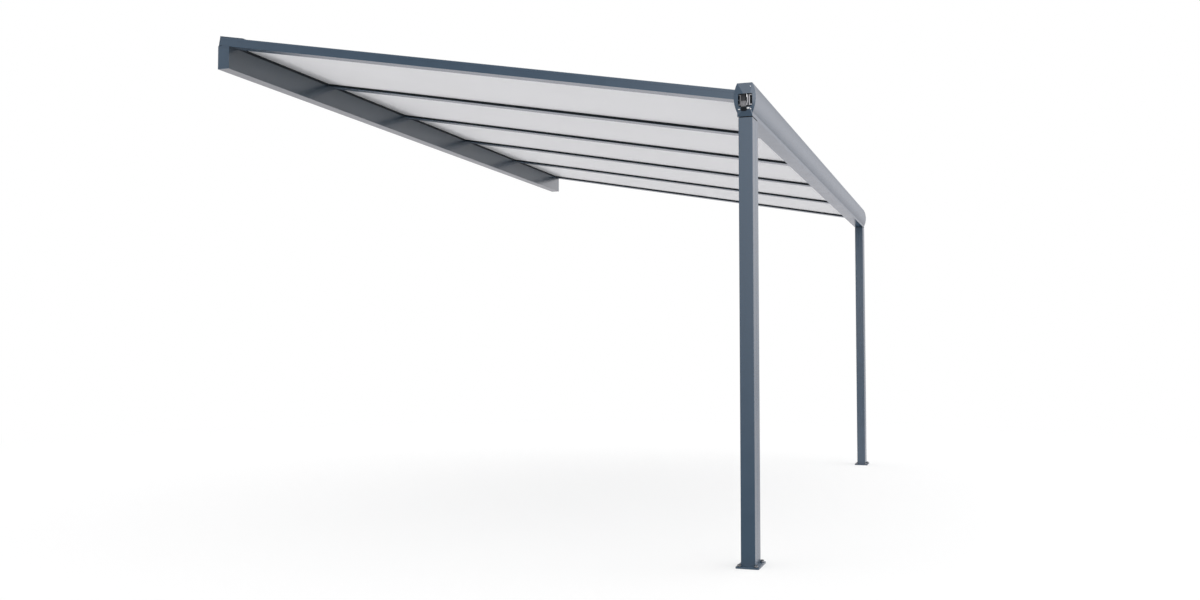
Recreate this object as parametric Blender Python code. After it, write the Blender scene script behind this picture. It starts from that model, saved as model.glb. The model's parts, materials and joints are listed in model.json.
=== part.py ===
"""Lean-to carport: an aluminium roof on two posts and a wall profile.

Five opal panels lie on six sloping rafters. The rafters rest at the back on a
hollow profile that is bolted to a wall, and at the front on the seat of a
barrel-shaped gutter beam, which stands on two rectangular posts.

X runs along the wall, Y points into the wall and Z points up. The origin is
the middle of the wall profile's flat back face.
"""

import math

import bpy
import bmesh
from mathutils import Vector

# Roof and panels
BAY_COUNT = 5
PANEL_WIDTH = 0.980
PANEL_THICKNESS = 0.016
PANEL_SIDE_GAP = 0.0024
PANEL_WALL_GAP = 0.004
PANEL_DRIP = 0.020

# Rafters and their covers
RAFTER_WIDTH = 0.080
RAFTER_FOOT = 0.015
RAFTER_WEB = 0.010
RAFTER_WALL = 0.002
RAFTER_BEARING = 0.018
SCREW_SLOT_WIDTH = 0.004
SCREW_SLOT_DEPTH = 0.010
COVER_HEIGHT = 0.015
COVER_EDGE_RADIUS = 0.003

# Wall profile
DEPTH = 2.980
WALL_UNDERSIDE_HEIGHT = 2.546
WALL_PROFILE_HEIGHT = 0.1234
WALL_PROFILE_DEPTH = 0.0707
WALL_PROFILE_THICKNESS = 0.003
WALL_LEVEL_DEPTH = 0.035
WALL_CAP_THICKNESS = 0.003
WALL_CAP_RIM = 0.006
WALL_CAP_RECESS = 0.001
WALL_SEAL_WIDTH = 0.014
FLASHING_REACH = 0.155
FLASHING_WALL_GAP = 0.002
FLASHING_THICKNESS = 0.004
FLASHING_LIP = 0.002
FLASHING_SEAM = 0.0015
FLASHING_NOTCH_GAP = 0.001

# Gutter beam
EAVES_HEIGHT = 2.084
GUTTER_HEIGHT = 0.1575
GUTTER_WIDTH = 0.072
GUTTER_BULGE = 0.016
GUTTER_LIP = 0.018
GUTTER_THICKNESS = 0.003
GUTTER_RETURN = 0.020
GUTTER_RETURN_DROP = 0.009
SEAT_HEIGHT = 0.083
SEAT_WIDTH = 0.025

# Gutter end caps and the fittings that show through them
CAP_THICKNESS = 0.003
CAP_PEAK = 0.018
CAP_PEAK_DEPTH = 0.016
CAP_PEAK_HEIGHT = 0.063
CAP_OPENING_WIDTH = 0.068
CAP_OPENING_HEIGHT = 0.063
CAP_OPENING_CHAMFER = 0.010
CAP_OPENING_CENTRE_DEPTH = 0.033
CAP_OPENING_CENTRE_HEIGHT = 0.0738
CLIP_SPACING = 0.037
CLIP_THICKNESS = 0.005
CLIP_FLANGE = 0.009
CLIP_REAR_FLANGE = 0.005
CLIP_RADIUS = 0.004
CLIP_TOP_HEIGHT = 0.104
CLIP_FOOT_HEIGHT = 0.0535
BRACKET_THICKNESS = 0.004
BRACKET_LENGTH = 0.030
TONGUE_OFFSET = 0.0125
TONGUE_THICKNESS = 0.0045
TONGUE_LEAN = 0.012
BLOCK_OFFSET = 0.0075
BLOCK_WIDTH = 0.020
BLOCK_LENGTH = 0.024
BLOCK_SPLIT_HEIGHT = 0.075
BLOCK_TOP_HEIGHT = 0.114
BLOCK_CORNER_RADIUS = 0.002
RIB_COUNT = 4
RIB_GROOVE = 0.0015

# Posts and base plates
POST_LENGTH = 0.130
POST_WIDTH = 0.0666
POST_THICKNESS = 0.003
POST_CORNER_RADIUS = 0.002
POST_GROOVE_WIDTH = 0.004
POST_GROOVE_DEPTH = 0.001
POST_HEAD_HEIGHT = 0.005
POST_HEAD_INSET = 0.0024
PLATE_LENGTH = 0.178
PLATE_WIDTH = 0.108
PLATE_THICKNESS = 0.008
PLATE_CORNER_RADIUS = 0.004
ANCHOR_EDGE = 0.015
ANCHOR_HOLE_RADIUS = 0.0055

# Fit and smoothness
FIT = 0.0003
CORNER_STEPS = 3
ARC_STEPS = 14
HOLE_STEPS = 16

# Heights above the ground become Z by taking off the height of the origin
GROUND_Z = -(WALL_UNDERSIDE_HEIGHT + WALL_PROFILE_HEIGHT / 2)
WALL_BOTTOM_Z = -WALL_PROFILE_HEIGHT / 2
WALL_TOP_Z = WALL_PROFILE_HEIGHT / 2
GUTTER_BOTTOM_Z = GROUND_Z + EAVES_HEIGHT
FRONT_Y = -DEPTH

# Widths along the wall
BAY_PITCH = PANEL_WIDTH + RAFTER_WEB + 2 * PANEL_SIDE_GAP
ROOF_WIDTH = BAY_COUNT * BAY_PITCH + RAFTER_WIDTH
OVERALL_WIDTH = ROOF_WIDTH + 2 * (CAP_THICKNESS + FIT)

# The rafters' undersides rest on two lines: the seat's rear edge and the wall profile's front top edge
SEAT_REAR_Y = FRONT_Y + GUTTER_WIDTH + GUTTER_BULGE
SEAT_REAR_Z = GUTTER_BOTTOM_Z + SEAT_HEIGHT
ROOF_TAN = (WALL_TOP_Z - SEAT_REAR_Z) / (-WALL_PROFILE_DEPTH - SEAT_REAR_Y)
PITCH = math.atan(ROOF_TAN)
ROOF_ORIGIN_Z = WALL_TOP_Z + WALL_PROFILE_DEPTH * ROOF_TAN + FIT / math.cos(PITCH)

# Levels above the rafters' underside, square to the roof
PANEL_BOTTOM = RAFTER_FOOT + FIT
PANEL_TOP = PANEL_BOTTOM + PANEL_THICKNESS
COVER_BOTTOM = PANEL_TOP + FIT
COVER_TOP = COVER_BOTTOM + COVER_HEIGHT
FLASHING_BOTTOM = COVER_TOP + FIT

# The flashing's rear leg ends just over the level part of the wall profile's top
FLASHING_LEG = FLASHING_WALL_GAP + FLASHING_THICKNESS
FLASHING_FOOT = (FLASHING_LEG - WALL_LEVEL_DEPTH / math.cos(PITCH)) * ROOF_TAN

# Lengths down the slope, from the wall plane
RAFTER_START = FLASHING_LEG + FLASHING_SEAM
RAFTER_END = (-SEAT_REAR_Y + RAFTER_BEARING) / math.cos(PITCH)
PANEL_END = RAFTER_END + PANEL_DRIP
TRIM_THICKNESS = 0.0015
TRIM_LEG = PANEL_DRIP - 0.003
TRIM_DRIP = 0.004

# The barrel sides of gutter and end caps are arcs over the straight lip
BARREL_CHORD = GUTTER_HEIGHT - GUTTER_LIP
BARREL_RADIUS = (BARREL_CHORD ** 2 / 4 + GUTTER_BULGE ** 2) / (2 * GUTTER_BULGE)
BARREL_CENTRE = GUTTER_LIP + BARREL_CHORD / 2

FINISHES = {
    "powder_coat": ((0.105, 0.130, 0.158, 1.0), 0.42, 0.15),
    "opal_sheet": ((0.82, 0.83, 0.84, 1.0), 0.35, 0.0),
    "black_rubber": ((0.012, 0.014, 0.016, 1.0), 0.6, 0.0),
    "zinc_steel": ((0.55, 0.56, 0.58, 1.0), 0.3, 0.9),
}


def clear_scene():
    """Remove whatever objects the open file holds."""
    for old in list(bpy.data.objects):
        bpy.data.objects.remove(old, do_unlink=True)


def finish_material(name):
    """Return the named finish, made once."""
    material = bpy.data.materials.get(name)
    if material is None:
        colour, roughness, metallic = FINISHES[name]
        material = bpy.data.materials.new(name)
        material.use_nodes = True
        shader = material.node_tree.nodes["Principled BSDF"]
        shader.inputs["Base Color"].default_value = colour
        shader.inputs["Roughness"].default_value = roughness
        shader.inputs["Metallic"].default_value = metallic
        material.diffuse_color = colour
    return material


def add_object(name, bm, finish):
    """Turn a finished bmesh into an object with outward faces."""
    bmesh.ops.recalc_face_normals(bm, faces=bm.faces)
    mesh = bpy.data.meshes.new(name)
    bm.to_mesh(mesh)
    bm.free()
    mesh.materials.append(finish_material(finish))
    made = bpy.data.objects.new(name, mesh)
    bpy.context.scene.collection.objects.link(made)
    return made


def section_point(axis, pair, along):
    """Place a section's point: the section lies square to the axis."""
    a, b = pair
    if axis == "X":
        return Vector((along, a, b))
    if axis == "Y":
        return Vector((a, along, b))
    return Vector((a, b, along))


def extrude_section(axis, outline, start, end, holes=()):
    """Fill a closed outline with its holes, and pull it from start to end."""
    bm = bmesh.new()
    edges = []
    for ring in (outline, *holes):
        corners = [bm.verts.new(section_point(axis, pair, start)) for pair in ring]
        edges += [bm.edges.new((corners[i - 1], corners[i])) for i in range(len(corners))]
    normal = section_point(axis, (0.0, 0.0), 1.0)
    bmesh.ops.triangle_fill(bm, use_beauty=True, edges=edges, normal=normal)
    grown = bmesh.ops.extrude_face_region(bm, geom=list(bm.faces))
    moved = [item for item in grown["geom"] if isinstance(item, bmesh.types.BMVert)]
    bmesh.ops.translate(bm, verts=moved, vec=normal * (end - start))
    return bm


def corner_arc(centre, radius, start, end, steps=CORNER_STEPS):
    """Points on an arc between two angles in degrees."""
    angles = [math.radians(start + (end - start) * i / steps) for i in range(steps + 1)]
    return [(centre[0] + radius * math.cos(a), centre[1] + radius * math.sin(a)) for a in angles]


def rounded_rectangle(low, high, radius, steps=CORNER_STEPS):
    """A rectangle's outline with rounded corners, counter-clockwise."""
    (x0, y0), (x1, y1) = low, high
    outline = corner_arc((x1 - radius, y1 - radius), radius, 0, 90, steps)
    outline += corner_arc((x0 + radius, y1 - radius), radius, 90, 180, steps)
    outline += corner_arc((x0 + radius, y0 + radius), radius, 180, 270, steps)
    outline += corner_arc((x1 - radius, y0 + radius), radius, 270, 360, steps)
    return outline


def round_hole(centre, radius, steps=HOLE_STEPS):
    """A round hole's outline."""
    return corner_arc(centre, radius, 0, 360 * (steps - 1) / steps, steps - 1)


def place_on_roof(piece):
    """Lay a piece, modelled flat with the slope along Y, on the roof's plane."""
    piece.location = (0.0, 0.0, ROOF_ORIGIN_Z)
    piece.rotation_euler = (PITCH, 0.0, 0.0)


def cut(piece, cutters):
    """Take the cutters out of a piece; they stay as hidden guides."""
    for cutter in cutters:
        cutter.hide_render = True
        cutter.display_type = "WIRE"
        modifier = piece.modifiers.new(cutter.name, "BOOLEAN")
        modifier.operation = "DIFFERENCE"
        modifier.solver = "EXACT"
        modifier.object = cutter


def box(name, low, high, finish="powder_coat"):
    """A plain block between two corners."""
    outline = [(low[0], low[1]), (high[0], low[1]), (high[0], high[1]), (low[0], high[1])]
    return add_object(name, extrude_section("Z", outline, low[2], high[2]), finish)


def rafter_centre(index):
    """The X of a rafter's middle, counted from the near end."""
    return -ROOF_WIDTH / 2 + RAFTER_WIDTH / 2 + index * BAY_PITCH


def end_name(side):
    """The near end is at -X and the far end at +X."""
    return "near" if side < 0 else "far"


# Wall side

def wall_top_at(y):
    """The height of the wall profile's top: it follows the roof, then runs level to the wall."""
    return WALL_TOP_Z + ROOF_TAN * (min(y, -WALL_LEVEL_DEPTH) + WALL_PROFILE_DEPTH)


def wall_outline(inset=0.0):
    """The wall profile's section in Y and Z, shrunk by an inset."""
    back, front = -inset, -WALL_PROFILE_DEPTH + inset
    bottom = WALL_BOTTOM_Z + inset
    top = [(y, wall_top_at(y) - inset) for y in (front, -WALL_LEVEL_DEPTH, back)]
    return [(back, bottom), (front, bottom)] + top


def make_wall_profile():
    """A hollow profile of two chambers with a flat back."""
    half = OVERALL_WIDTH / 2 - WALL_CAP_THICKNESS - FIT
    back, front = -WALL_PROFILE_THICKNESS, -WALL_PROFILE_DEPTH + WALL_PROFILE_THICKNESS
    middle = WALL_PROFILE_THICKNESS / 2
    inner = wall_outline(WALL_PROFILE_THICKNESS)
    lower = inner[:2] + [(front, -middle), (back, -middle)]
    upper = [(back, middle), (front, middle)] + inner[2:]
    bm = extrude_section("X", wall_outline(), -half, half, holes=(lower, upper))
    add_object("wall_profile", bm, "powder_coat")


def make_wall_end_cap(side):
    """A plate with a raised rim that closes an end of the wall profile."""
    outer = side * OVERALL_WIDTH / 2
    inner = side * (OVERALL_WIDTH / 2 - WALL_CAP_THICKNESS)
    bm = extrude_section("X", wall_outline(), inner, outer)
    bmesh.ops.dissolve_limit(bm, angle_limit=0.001, verts=bm.verts, edges=bm.edges)
    bmesh.ops.recalc_face_normals(bm, faces=bm.faces)
    face = [f for f in bm.faces if abs(f.calc_center_median().x - outer) < FIT]
    bmesh.ops.inset_individual(bm, faces=face, thickness=WALL_CAP_RIM, depth=0.0)
    bmesh.ops.inset_individual(bm, faces=face, thickness=WALL_CAP_RECESS, depth=-WALL_CAP_RECESS)
    add_object("wall_profile_cap_" + end_name(side), bm, "powder_coat")


def make_wall_seals():
    """Rubber strips that close the gap between wall profile and panels, one in each bay."""
    front = -WALL_PROFILE_DEPTH + FIT
    back = front + WALL_SEAL_WIDTH
    lift = ROOF_ORIGIN_Z + (PANEL_BOTTOM - FIT) / math.cos(PITCH)
    outline = [(y, wall_top_at(y) + FIT) for y in (front, back)]
    outline += [(y, lift + y * ROOF_TAN) for y in (back, front)]
    for bay in range(BAY_COUNT):
        start = rafter_centre(bay) + RAFTER_WIDTH / 2 + FIT
        end = rafter_centre(bay + 1) - RAFTER_WIDTH / 2 - FIT
        bm = extrude_section("X", outline, start, end)
        add_object(f"wall_seal_{bay + 1}", bm, "black_rubber")


def make_flashing():
    """An angle over the rafters and behind their ends, with a front lip notched round each cover."""
    front, lip = -FLASHING_REACH, -FLASHING_REACH + FLASHING_LIP
    back, leg = -FLASHING_WALL_GAP, -FLASHING_LEG
    low = PANEL_TOP + FIT
    top = FLASHING_BOTTOM + FLASHING_THICKNESS
    outline = [(front, low), (lip, low), (lip, FLASHING_BOTTOM), (leg, FLASHING_BOTTOM),
               (leg, FLASHING_FOOT), (back, FLASHING_FOOT), (back, top), (front, top)]
    half = ROOF_WIDTH / 2
    strip = add_object("wall_flashing", extrude_section("X", outline, -half, half), "powder_coat")
    reach = RAFTER_WIDTH / 2 + FLASHING_NOTCH_GAP
    notches = []
    for index in range(BAY_COUNT + 1):
        x = rafter_centre(index)
        notch = box(f"flashing_notch_{index + 1}",
                    (x - reach, front - FLASHING_LIP, low - FLASHING_LIP),
                    (x + reach, lip + FLASHING_LIP, FLASHING_BOTTOM))
        place_on_roof(notch)
        notches.append(notch)
    place_on_roof(strip)
    cut(strip, notches)


# Roof

def rafter_outline(outer_side):
    """A rafter's section: a foot, a web with a screw slot, and on end rafters an outer wall."""
    half, web, slot = RAFTER_WIDTH / 2, RAFTER_WEB / 2, SCREW_SLOT_WIDTH / 2
    foot, top = RAFTER_FOOT, PANEL_TOP
    right = [(half, 0.0), (half, foot)]
    if outer_side:
        right = [(half, 0.0), (half, top), (half - RAFTER_WALL, top), (half - RAFTER_WALL, foot)]
    groove = [(slot, top), (slot, top - SCREW_SLOT_DEPTH),
              (-slot, top - SCREW_SLOT_DEPTH), (-slot, top)]
    outline = right + [(web, foot), (web, top)] + groove
    outline += [(-web, top), (-web, foot), (-half, foot), (-half, 0.0)]
    turn = -1 if outer_side < 0 else 1
    return [(turn * a, b) for a, b in outline]


def foot_chamber():
    """The hollow inside a rafter's foot."""
    half = RAFTER_WIDTH / 2 - RAFTER_WALL
    low, high = RAFTER_WALL, RAFTER_FOOT - RAFTER_WALL
    return [(-half, low), (half, low), (half, high), (-half, high)]


def cover_outline():
    """A cover's section: a rounded top on two side legs and a middle boss."""
    half, web, radius = RAFTER_WIDTH / 2, RAFTER_WEB / 2, COVER_EDGE_RADIUS
    low, under, top = COVER_BOTTOM, COVER_TOP - RAFTER_WALL, COVER_TOP
    outline = corner_arc((half - radius, top - radius), radius, 0, 90)
    outline += corner_arc((-half + radius, top - radius), radius, 90, 180)
    outline += [(-half, low), (-half + RAFTER_WALL, low), (-half + RAFTER_WALL, under)]
    outline += [(-web, under), (-web, low), (web, low), (web, under)]
    outline += [(half - RAFTER_WALL, under), (half - RAFTER_WALL, low), (half, low)]
    return outline


def shifted(outline, x):
    """Move a section sideways."""
    return [(a + x, b) for a, b in outline]


def make_rafter(index):
    """One rafter and the cover that clamps the panels on it."""
    outer_side = {0: -1, BAY_COUNT: 1}.get(index, 0)
    x = rafter_centre(index)
    bm = extrude_section("Y", shifted(rafter_outline(outer_side), x), -RAFTER_END,
                         -RAFTER_START, holes=(shifted(foot_chamber(), x),))
    place_on_roof(add_object(f"rafter_{index + 1}", bm, "powder_coat"))
    bm = extrude_section("Y", shifted(cover_outline(), x), -RAFTER_END, -RAFTER_START)
    place_on_roof(add_object(f"rafter_cover_{index + 1}", bm, "powder_coat"))


def make_panel(bay):
    """One opal panel and the channel that closes its lower end."""
    x = (rafter_centre(bay) + rafter_centre(bay + 1)) / 2
    half = PANEL_WIDTH / 2
    panel = box(f"roof_panel_{bay + 1}", (x - half, -PANEL_END, PANEL_BOTTOM),
                (x + half, -RAFTER_START - PANEL_WALL_GAP, PANEL_TOP), "opal_sheet")
    place_on_roof(panel)
    end = -PANEL_END - FIT
    front = end - TRIM_THICKNESS
    leg = front + TRIM_LEG
    low, high = PANEL_BOTTOM - FIT, PANEL_TOP + FIT
    outline = [(front, low - TRIM_THICKNESS - TRIM_DRIP), (end, low - TRIM_THICKNESS - TRIM_DRIP),
               (end, low - TRIM_THICKNESS), (leg, low - TRIM_THICKNESS), (leg, low), (end, low),
               (end, high), (leg, high), (leg, high + TRIM_THICKNESS),
               (front, high + TRIM_THICKNESS)]
    bm = extrude_section("X", outline, x - half, x + half)
    place_on_roof(add_object(f"panel_end_trim_{bay + 1}", bm, "powder_coat"))


# Gutter

def barrel_offset(height, inset=0.0):
    """How far the barrel side stands out from the lip's plane at a height."""
    radius = BARREL_RADIUS - inset
    rise = height - BARREL_CENTRE
    return math.sqrt(radius ** 2 - rise ** 2) - (BARREL_RADIUS - GUTTER_BULGE)


def barrel_side(low, high, inset=0.0):
    """Offsets and heights up a barrel side, from low to high."""
    heights = [low + (high - low) * i / ARC_STEPS for i in range(ARC_STEPS + 1)]
    return [(barrel_offset(h, inset), h) for h in heights]


def gutter_outline():
    """The gutter beam's section, with Y from the front lip and Z from the underside."""
    wall, width = GUTTER_THICKNESS, GUTTER_WIDTH
    rear = width + GUTTER_BULGE
    seat_end = rear - SEAT_WIDTH
    seat_low = SEAT_HEIGHT - SEAT_WIDTH * ROOF_TAN
    outline = [(0.0, 0.0), (width, 0.0)]
    outline += [(width + a, h) for a, h in barrel_side(GUTTER_LIP, SEAT_HEIGHT)]
    outline += [(seat_end, seat_low), (seat_end, seat_low - wall)]
    inner_top = SEAT_HEIGHT - wall - 2 * wall * ROOF_TAN
    rear_inside = barrel_side(GUTTER_LIP, inner_top, wall)
    outline += [(width + a, h) for a, h in reversed(rear_inside)]
    outline += [(width - wall, wall), (wall, wall)]
    outline += [(-a, h) for a, h in barrel_side(GUTTER_LIP, GUTTER_HEIGHT - wall, wall)]
    outline += [(GUTTER_RETURN - wall, GUTTER_HEIGHT - wall),
                (GUTTER_RETURN - wall, GUTTER_HEIGHT - GUTTER_RETURN_DROP),
                (GUTTER_RETURN, GUTTER_HEIGHT - GUTTER_RETURN_DROP),
                (GUTTER_RETURN, GUTTER_HEIGHT)]
    outline += [(-a, h) for a, h in reversed(barrel_side(GUTTER_LIP, GUTTER_HEIGHT))]
    return outline


def from_gutter(outline):
    """Move a gutter section to its place."""
    return [(FRONT_Y + a, GUTTER_BOTTOM_Z + h) for a, h in outline]


def make_gutter():
    """The gutter beam: a trough with a barrel front and a sloping seat at the rear."""
    half = OVERALL_WIDTH / 2 - CAP_THICKNESS - FIT
    bm = extrude_section("X", from_gutter(gutter_outline()), -half, half)
    add_object("gutter_beam", bm, "powder_coat")


def cap_outline():
    """The end cap's barrel outline."""
    front = [(-a, h) for a, h in barrel_side(GUTTER_LIP, GUTTER_HEIGHT)]
    rear = [(GUTTER_WIDTH + a, h) for a, h in reversed(barrel_side(GUTTER_LIP, GUTTER_HEIGHT))]
    return [(0.0, 0.0)] + front + rear + [(GUTTER_WIDTH, 0.0)]


def opening_outline():
    """The end cap's opening: nearly square, with its two lower corners cut off."""
    half_wide, half_high, cut_off = CAP_OPENING_WIDTH / 2, CAP_OPENING_HEIGHT / 2, CAP_OPENING_CHAMFER
    low, high = CAP_OPENING_CENTRE_HEIGHT - half_high, CAP_OPENING_CENTRE_HEIGHT + half_high
    left, right = CAP_OPENING_CENTRE_DEPTH - half_wide, CAP_OPENING_CENTRE_DEPTH + half_wide
    return [(left + cut_off, low), (right - cut_off, low), (right, low + cut_off), (right, high),
            (left, high), (left, low + cut_off)]


def make_gutter_cap(side):
    """A shell whose faces rise to a flat peak near the front, cut by the opening."""
    outline = from_gutter(cap_outline())
    outer = side * OVERALL_WIDTH / 2
    peak_y, peak_z = from_gutter([(CAP_PEAK_DEPTH, CAP_PEAK_HEIGHT)])[0]
    bm = bmesh.new()
    rings = []
    for depth in (0.0, CAP_THICKNESS):
        x = outer - side * depth
        ring = [bm.verts.new((x, y, z)) for y, z in outline]
        tip = bm.verts.new((x + side * CAP_PEAK, peak_y, peak_z))
        for i in range(len(ring)):
            bm.faces.new((ring[i - 1], ring[i], tip))
        rings.append(ring)
    for i in range(len(outline)):
        bm.faces.new((rings[0][i - 1], rings[0][i], rings[1][i], rings[1][i - 1]))
    name = end_name(side)
    cap = add_object("gutter_end_cap_" + name, bm, "powder_coat")
    bm = extrude_section("X", from_gutter(opening_outline()),
                         outer - side * 2 * CAP_THICKNESS, outer + side * 2 * CAP_PEAK)
    cut(cap, [add_object("cap_opening_" + name, bm, "powder_coat")])


def clip_outline(top_flange):
    """Half of the bracket's section: an upright with two flanges that point away from the middle."""
    inside, wall = CLIP_SPACING / 2, CLIP_THICKNESS
    outside = inside + wall
    low_tip, top_tip = outside + CLIP_FLANGE, outside + top_flange
    floor = GUTTER_THICKNESS + FIT
    foot, top = CLIP_FOOT_HEIGHT, CLIP_TOP_HEIGHT
    outline = [(outside, floor), (outside, foot), (low_tip, foot), (low_tip, foot + wall),
               (outside, foot + wall), (outside, top - wall), (top_tip, top - wall), (top_tip, top)]
    outline += corner_arc((inside + CLIP_RADIUS, top - CLIP_RADIUS), CLIP_RADIUS, 90, 180)
    return outline + [(inside, floor + BRACKET_THICKNESS)]


def bracket_outline():
    """Two clips on a foot, with a flat tongue beside the front one that leans up from the block."""
    rear = clip_outline(CLIP_REAR_FLANGE)
    front = [(-a, h) for a, h in reversed(clip_outline(CLIP_FLANGE))]
    foot_top = rear[-1][1]
    near, far = (-TONGUE_OFFSET + sign * TONGUE_THICKNESS / 2 for sign in (1, -1))
    bend = BLOCK_SPLIT_HEIGHT
    tongue = [(near + TONGUE_LEAN, foot_top), (near, bend), (near, CLIP_TOP_HEIGHT),
              (far, CLIP_TOP_HEIGHT), (far, bend), (far + TONGUE_LEAN, foot_top)]
    return [(GUTTER_WIDTH / 2 + a, h) for a, h in rear + tongue + front]


def block_spot(side):
    """The middle of the two blocks that stand between the clips, in X and Y."""
    outer = side * (OVERALL_WIDTH / 2 - CAP_THICKNESS - 2 * FIT)
    return outer - side * BRACKET_LENGTH / 2, FRONT_Y + GUTTER_WIDTH / 2 + BLOCK_OFFSET


def ribbed_outline(side):
    """A block's plan, with grooves down the face that looks out through the end cap."""
    half_x, half_y = BLOCK_LENGTH / 2, BLOCK_WIDTH / 2
    outline = [(half_x, -half_y)]
    for rib in range(1, RIB_COUNT + 1):
        middle = -half_y + BLOCK_WIDTH * rib / (RIB_COUNT + 1)
        outline += [(half_x, middle - RIB_GROOVE / 2), (half_x - RIB_GROOVE, middle),
                    (half_x, middle + RIB_GROOVE / 2)]
    outline += [(half_x, half_y), (-half_x, half_y), (-half_x, -half_y)]
    return moved([(side * a, b) for a, b in outline], block_spot(side))


def make_end_bracket(side):
    """The steel bracket that stands in the gutter's end, with a ribbed block on its foot."""
    name = end_name(side)
    outer = side * (OVERALL_WIDTH / 2 - CAP_THICKNESS - 2 * FIT)
    bm = extrude_section("X", from_gutter(bracket_outline()), outer, outer - side * BRACKET_LENGTH)
    bracket = add_object("end_bracket_" + name, bm, "zinc_steel")
    low = GUTTER_BOTTOM_Z + GUTTER_THICKNESS + BRACKET_THICKNESS / 2
    bm = extrude_section("Z", ribbed_outline(side), low, GUTTER_BOTTOM_Z + BLOCK_SPLIT_HEIGHT)
    block = add_object("ribbed_block_" + name, bm, "zinc_steel")
    block.hide_render = True
    block.display_type = "WIRE"
    union = bracket.modifiers.new("block", "BOOLEAN")
    union.operation = "UNION"
    union.solver = "EXACT"
    union.object = block


def make_end_block(side):
    """The black block on top of the ribbed one."""
    half_x, half_y = BLOCK_LENGTH / 2, BLOCK_WIDTH / 2
    outline = rounded_rectangle((-half_x, -half_y), (half_x, half_y), BLOCK_CORNER_RADIUS)
    bm = extrude_section("Z", moved(outline, block_spot(side)),
                         GUTTER_BOTTOM_Z + BLOCK_SPLIT_HEIGHT + FIT,
                         GUTTER_BOTTOM_Z + BLOCK_TOP_HEIGHT)
    add_object("end_block_" + end_name(side), bm, "black_rubber")


# Posts

def post_outline():
    """A post's section with rounded corners and a shallow groove down its two broad faces."""
    half_x, half_y = POST_LENGTH / 2, POST_WIDTH / 2
    groove, depth = POST_GROOVE_WIDTH / 2, POST_GROOVE_DEPTH
    ring = rounded_rectangle((-half_x, -half_y), (half_x, half_y), POST_CORNER_RADIUS)
    corner = CORNER_STEPS + 1
    back = [(groove, half_y), (0.0, half_y - depth), (-groove, half_y)]
    front = [(-groove, -half_y), (0.0, -half_y + depth), (groove, -half_y)]
    return ring[:corner] + back + ring[corner:3 * corner] + front + ring[3 * corner:]


def post_centre(side):
    """A post stands flush with the gutter's end and with its front lip."""
    return side * (OVERALL_WIDTH / 2 - POST_LENGTH / 2), FRONT_Y + POST_WIDTH / 2


def moved(outline, centre):
    """Move a plan outline to a centre."""
    return [(a + centre[0], b + centre[1]) for a, b in outline]


def make_post(side):
    """A hollow post, its head under the gutter and its base plate."""
    name = end_name(side)
    centre = post_centre(side)
    half_x, half_y = POST_LENGTH / 2, POST_WIDTH / 2
    wall = POST_THICKNESS
    bottom = GROUND_Z + PLATE_THICKNESS + FIT
    top = GUTTER_BOTTOM_Z - POST_HEAD_HEIGHT
    hollow = rounded_rectangle((-half_x + wall, -half_y + wall), (half_x - wall, half_y - wall),
                               POST_CORNER_RADIUS)
    bm = extrude_section("Z", moved(post_outline(), centre), bottom, top,
                         holes=(moved(hollow, centre),))
    add_object("post_" + name, bm, "powder_coat")
    inset = POST_HEAD_INSET
    head = rounded_rectangle((-half_x + inset, -half_y + inset), (half_x - inset, half_y - inset),
                             POST_CORNER_RADIUS)
    bm = extrude_section("Z", moved(head, centre), top + FIT, GUTTER_BOTTOM_Z - FIT)
    add_object("post_head_" + name, bm, "black_rubber")
    make_base_plate(name, centre)


def anchor_spots():
    """The four anchor holes, in from the plate's corners."""
    x = PLATE_LENGTH / 2 - ANCHOR_EDGE
    y = PLATE_WIDTH / 2 - ANCHOR_EDGE
    return [(sx * x, sy * y) for sx in (-1, 1) for sy in (-1, 1)]


def make_base_plate(name, centre):
    """The plate under a post, with an anchor hole near each corner."""
    half_x, half_y = PLATE_LENGTH / 2, PLATE_WIDTH / 2
    plate = rounded_rectangle((-half_x, -half_y), (half_x, half_y), PLATE_CORNER_RADIUS)
    holes = [moved(round_hole(spot, ANCHOR_HOLE_RADIUS), centre) for spot in anchor_spots()]
    bm = extrude_section("Z", moved(plate, centre), GROUND_Z, GROUND_Z + PLATE_THICKNESS,
                         holes=holes)
    add_object("base_plate_" + name, bm, "powder_coat")


def main():
    clear_scene()
    make_wall_profile()
    make_wall_seals()
    make_flashing()
    for index in range(BAY_COUNT + 1):
        make_rafter(index)
    for bay in range(BAY_COUNT):
        make_panel(bay)
    make_gutter()
    for side in (-1, 1):
        make_wall_end_cap(side)
        make_gutter_cap(side)
        make_end_bracket(side)
        make_end_block(side)
        make_post(side)


main()
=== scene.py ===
"""Finishes, small fittings and the stage for a lean-to carport with an opal panel roof."""

import json
import math

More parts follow.
